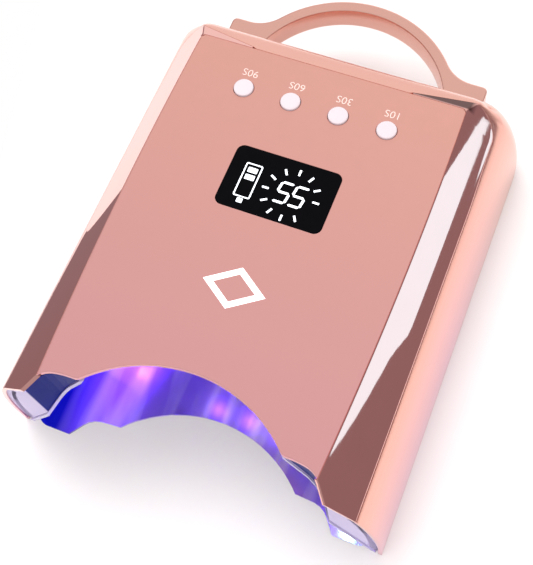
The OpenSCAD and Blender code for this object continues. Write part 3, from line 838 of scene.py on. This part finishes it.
dress(skirt, "rose_chrome", replaces=("outer_skirt",))
dress(cover, "rose_mirror", replaces=("top_cover",))
dress(panel, "rose_panel", replaces=("top_panel",))
dress(lens, "black_glass", replaces=("display_lens",))
dress(emblem, "white_diffuser", replaces=("emblem_inlay",))
dress(grip, "rose_handle", replaces=("handle",))
for name, obj in buttons.items():
    dress(obj, "white_button", f"button_{name}_body", (f"button_{name}",))
dress(display_marks, "display_light")
for obj in cap_edges:
    dress(obj, "cap_lilac")
for obj in labels:
    dress(obj, "label_print")

# ---- stage -------------------------------------------------------------------------

FLOOR_GAP = 0.0002       # in metres, under the lamp's feet

# In metres. The floor ends on the left where the front half of the left chamfer looks past it.
FLOOR = [(-0.172, -0.25), (0.27, -0.25), (0.27, 0.25), (-0.27, 0.25), (-0.212, 0.10),
         (-0.204, 0.063), (-0.189, 0.0), (-0.172, -0.06)]
bm = bmesh.new()
bm.faces.new([bm.verts.new((x, y, CAD_BOX[0][2] - FLOOR_GAP)) for x, y in FLOOR])
floor = new_object("floor", bm, smooth=False)
floor.data.materials.append(shader("floor", (0.93, 0.93, 0.93), 0, 0.6, 0.7, 0.01, 50))


def area_light(name, place, target, size, power, colour=(1, 1, 1), size_y=None):
    """A rectangular lamp that lights the scene but shows in no reflection."""
    light = bpy.data.lights.new(name, "AREA")
    light.shape = "RECTANGLE"
    light.size, light.size_y = size, size_y or size
    light.energy, light.color = power, colour
    obj = bpy.data.objects.new(name, light)
    bpy.context.scene.collection.objects.link(obj)
    obj.location = place
    obj.rotation_euler = (Vector(target) - Vector(place)).to_track_quat("-Z", "Y").to_euler()
    obj.visible_camera = obj.visible_glossy = False
    return obj


def only_lights(light, *objects):
    """The light reaches these objects and no others."""
    group = bpy.data.collections.new(light.name + "_lit")
    for obj in objects:
        group.objects.link(obj)
    light.light_linking.receiver_collection = group


HAND_SPACE = [NODES[n] for n in ("inner_reflector", "base_tray", "led_board_top", "led_board_left",
                                 "led_board_right", "end_cap_left", "end_cap_right", "ir_sensor")]
for node in ("leds_top", "leds_left", "leds_right"):
    only_lights(NODES[node], *HAND_SPACE)
for obj in HAND_SPACE:
    obj.visible_diffuse = False
GLOW_Y, GLOW_Z = 85, 66
for name, x in (("glow_left", -35), ("glow_right", 35)):
    glow = area_light(name, table(x, GLOW_Y, GLOW_Z), table(x, GLOW_Y, 0), 0.10, 0.9,
                      (0.30, 0.07, 1.0), 0.05)
    only_lights(glow, *HAND_SPACE)
tab_glow = area_light("tab_glow", table(88, 12, 22), table(88, 5, 0), 0.016, 0.02, (0.6, 0.92, 1.0))
tab_glow.visible_glossy = True
only_lights(tab_glow, NODES["base_tray"])
area_light("key", (-0.5, 0.4, 1.4), (0, 0, 0.05), 0.9, 12)
only_lights(area_light("floor_light", (0, -0.7, 1.1), (0, -0.15, 0), 0.9, 2.8), floor)
area_light("fill", (0.6, -0.8, 1.2), (0, 0, 0.05), 0.8, 6)

# ---- light strip, seen in the right-hand chamfer --------------------------------------

EYE = Vector((0.1210, -0.2111, 0.5590))       # where the camera stands
STRIP_X = 0.75                                # the plane that the strip lies in
STRIP_Y0, STRIP_Y1, STRIP_ROWS, STRIP_COLS = 20, 216, 40, 6
STREAK_STEP_Y, STREAK_FULL_Y = 77, 92         # between these it widens quickly
STREAK_CUT_Y = 168                            # from here its inner edge leaves the seam


def chamfer_point(u, y):
    """A place on the right-hand chamfer; u goes from 0 at the seam to 1 at the ridge."""
    x = seam_x(y) + u * (RIDGE_X - seam_x(y))
    return deck(x, y, -depth(x, y))


def mirror_ray(u, y, eye, reach):
    """Where the eye sees, past the right-hand chamfer, on the plane x = reach."""
    p = chamfer_point(u, y)
    n = (chamfer_point(u + 0.02, y) - p).cross(chamfer_point(u, y + 1) - p).normalized()
    ray = (p - eye).reflect(n).normalized()
    return p + ray * ((reach - p.x) / ray.x)


def streak_edges(y):
    """Both edges of the light strip's mirror image, across the chamfer, as it tapers to each
    end."""
    inner = 0.0 if y < STREAK_CUT_Y else 0.55 * (y - STREAK_CUT_Y) / (STRIP_Y1 - STREAK_CUT_Y)
    if y > STREAK_FULL_Y:
        outer = 0.76 + 0.04 * (y - STREAK_FULL_Y) / (STRIP_Y1 - STREAK_FULL_Y)
    elif y > STREAK_STEP_Y:
        outer = 0.50 + 0.26 * (y - STREAK_STEP_Y) / (STREAK_FULL_Y - STREAK_STEP_Y)
    else:
        outer = 0.06 + 0.44 * ((y - STRIP_Y0) / (STREAK_STEP_Y - STRIP_Y0)) ** 0.9
    return inner, outer


bm = bmesh.new()
rows = []
for i in range(STRIP_ROWS):
    y = STRIP_Y0 + (STRIP_Y1 - STRIP_Y0) * i / (STRIP_ROWS - 1)
    inner, outer = streak_edges(y)
    rows.append([bm.verts.new(mirror_ray(inner + (outer - inner) * k / STRIP_COLS, y, EYE, STRIP_X))
                 for k in range(STRIP_COLS + 1)])
for a, b in zip(rows, rows[1:]):
    for k in range(STRIP_COLS):
        bm.faces.new((a[k], a[k + 1], b[k + 1], b[k]))
strip = new_object("light_strip", bm, smooth=False)
glow_mat = bpy.data.materials.new("light_strip")
glow_mat.use_nodes = True
glow_bsdf = glow_mat.node_tree.nodes["Principled BSDF"]
glow_bsdf.inputs["Base Color"].default_value = (0, 0, 0, 1)
glow_bsdf.inputs["Emission Color"].default_value = (0.555, 0.868, 1.0, 1)
glow_bsdf.inputs["Emission Strength"].default_value = 2.03
strip.data.materials.append(glow_mat)
strip.visible_camera = strip.visible_diffuse = strip.visible_shadow = False

# ---- studio: a room whose brightness depends on the direction --------------------------

world = bpy.data.worlds.new("studio")
bpy.context.scene.world = world
world.use_nodes = True
wt = world.node_tree
back = wt.nodes["Background"]


def world_node(kind, **inputs):
    node = wt.nodes.new(kind)
    for key, value in inputs.items():
        socket = node.inputs[key.replace("_", " ")]
        if isinstance(value, bpy.types.NodeSocket):
            wt.links.new(value, socket)
        else:
            socket.default_value = value
    return node


def smooth_step(value, low, high):
    node = world_node("ShaderNodeMapRange", Value=value, From_Min=low, From_Max=high)
    node.interpolation_type = "SMOOTHSTEP"
    return node.outputs["Result"]


def blend_colour(factor, a, b):
    node = wt.nodes.new("ShaderNodeMix")
    node.data_type = "RGBA"
    for name, value in (("Factor", factor), ("A", a), ("B", b)):
        if isinstance(value, bpy.types.NodeSocket):
            wt.links.new(value, node.inputs[name])
        else:
            node.inputs[name].default_value = value
    return node.outputs["Result"]


toward = world_node("ShaderNodeSeparateXYZ",
                    Vector=wt.nodes.new("ShaderNodeTexCoord").outputs["Generated"])
ROOM = (0.33, 0.245, 0.265, 1)
CEILING = (0.86, 0.80, 0.79, 1)
REAR_WALL = (1.06, 1.04, 1.04, 1)
FRONT_WALL = (0.55, 0.50, 0.52, 1)
room = blend_colour(smooth_step(toward.outputs["Z"], 0.30, 0.62), ROOM, CEILING)
room = blend_colour(smooth_step(toward.outputs["Y"], 0.70, 0.90), room, REAR_WALL)
minus_y = world_node("ShaderNodeMath", Value=toward.outputs["Y"])
minus_y.operation = "MULTIPLY"
minus_y.inputs[1].default_value = -1
room = blend_colour(smooth_step(minus_y.outputs["Value"], 0.30, 0.80), room, FRONT_WALL)
path = wt.nodes.new("ShaderNodeLightPath")
seen = blend_colour(path.outputs["Is Camera Ray"], room, (1, 1, 1, 1))   # plain white behind
wt.links.new(seen, back.inputs["Color"])

# ---- camera ------------------------------------------------------------------------

AZIMUTH, ELEVATION, ROLL = math.radians(34.29), math.radians(67.82), math.radians(-13.64)
camera_data = bpy.data.cameras.new("camera")
camera_data.lens = 68.50
camera_data.sensor_width = 36
camera = bpy.data.objects.new("camera", camera_data)
bpy.context.scene.collection.objects.link(camera)
ahead = Vector((-math.sin(AZIMUTH) * math.cos(ELEVATION), math.cos(AZIMUTH) * math.cos(ELEVATION),
                -math.sin(ELEVATION)))
level = Vector((math.cos(AZIMUTH), math.sin(AZIMUTH), 0))
upright = level.cross(ahead)
right = math.cos(ROLL) * level + math.sin(ROLL) * upright
up = -math.sin(ROLL) * level + math.cos(ROLL) * upright
facing = Matrix((right, up, -ahead)).transposed().to_4x4()
camera.matrix_world = Matrix.Translation(EYE) @ facing
bpy.context.scene.camera = camera
bpy.context.scene.view_settings.view_transform = "Standard"
